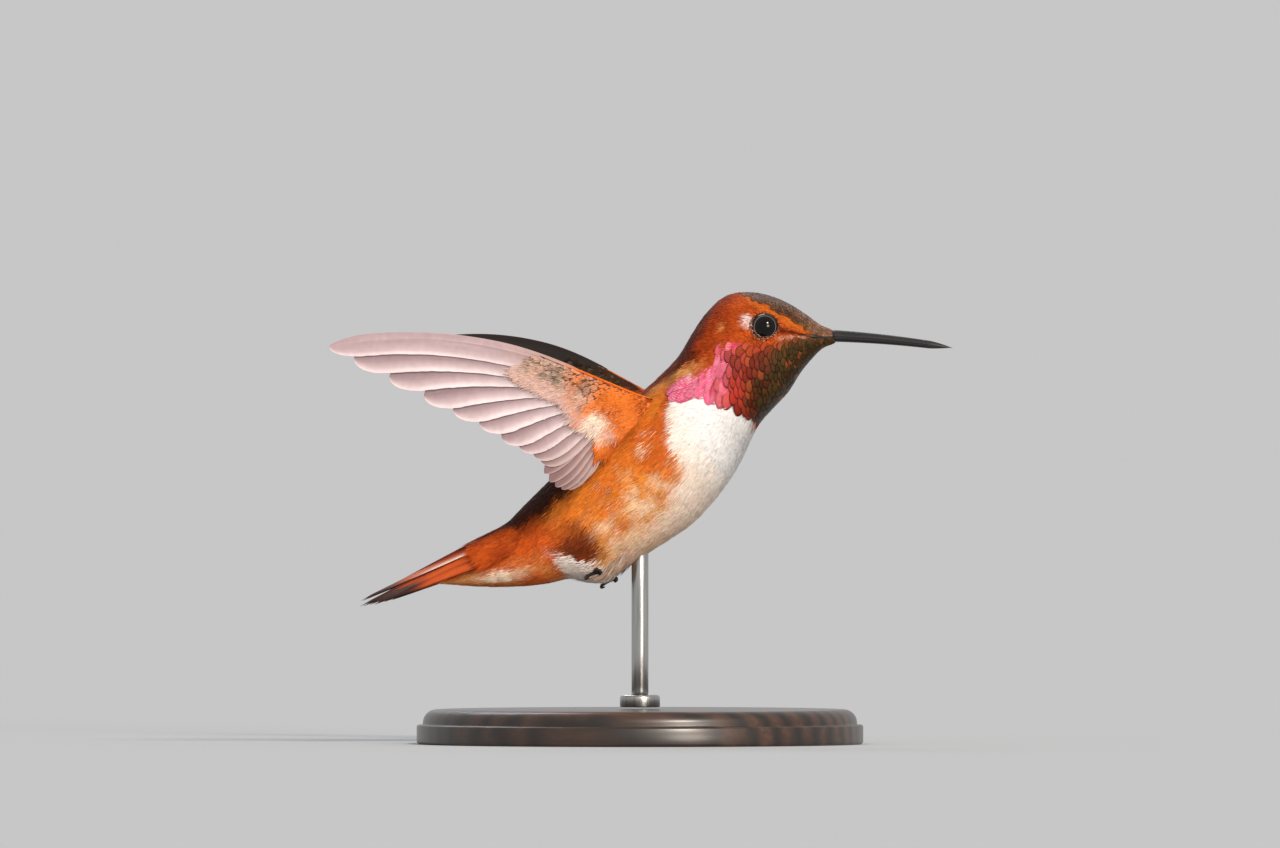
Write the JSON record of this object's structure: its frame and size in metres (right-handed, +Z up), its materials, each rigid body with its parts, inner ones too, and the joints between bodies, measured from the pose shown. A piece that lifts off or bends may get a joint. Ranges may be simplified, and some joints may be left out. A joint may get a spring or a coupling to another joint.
{
  "type": "rufous hummingbird",
  "caption": "Life-size still model of an adult male rufous hummingbird hovering with wings swept back, on a round base with a thin rod.",
  "frame": {"origin": "on the surface that the stand rests on, at the middle of the base's underside", "axes": "+X the way the bill points, +Y the bird's left, +Z up"},
  "size_m": [0.0777, 0.065, 0.0586],
  "materials": {
    "head_plumage": "short smooth feathers, rufous with an olive crown",
    "throat_plumage": "scale-like iridescent feathers, crimson to bronze",
    "body_plumage": "soft contour feathers, rufous to white",
    "tail_feathers": "smooth vanes, rufous with dark tips",
    "wing_coverts": "small overlapping feathers",
    "flight_feathers": "smooth satin vanes, pale underneath and dusky above",
    "bill_horn": "satin black horn",
    "eye": "wet gloss, dark brown",
    "foot_scale": "fine dark scales",
    "stand_wood": "dark stained, satin lacquer",
    "stand_steel": "drawn and polished rod"
  },
  "bodies": {
    "root": {"head": "head_plumage", "neck": "throat_plumage", "trunk": "body_plumage", "tail_coverts": "body_plumage", "tail_feathers_left": "tail_feathers", "tail_feathers_right": "tail_feathers", "wing_arm_left": "wing_coverts", "wing_arm_right": "wing_coverts", "wing_primaries_left": "flight_feathers", "wing_primaries_right": "flight_feathers", "wing_secondaries_left": "flight_feathers", "wing_secondaries_right": "flight_feathers", "bill_upper": "bill_horn", "bill_lower": "bill_horn", "eye_left": "eye", "eye_right": "eye", "leg_left": "foot_scale", "leg_right": "foot_scale", "stand_base": "stand_wood", "stand_collar": "stand_steel", "stand_rod": "stand_steel"}
  },
  "joints": []
}
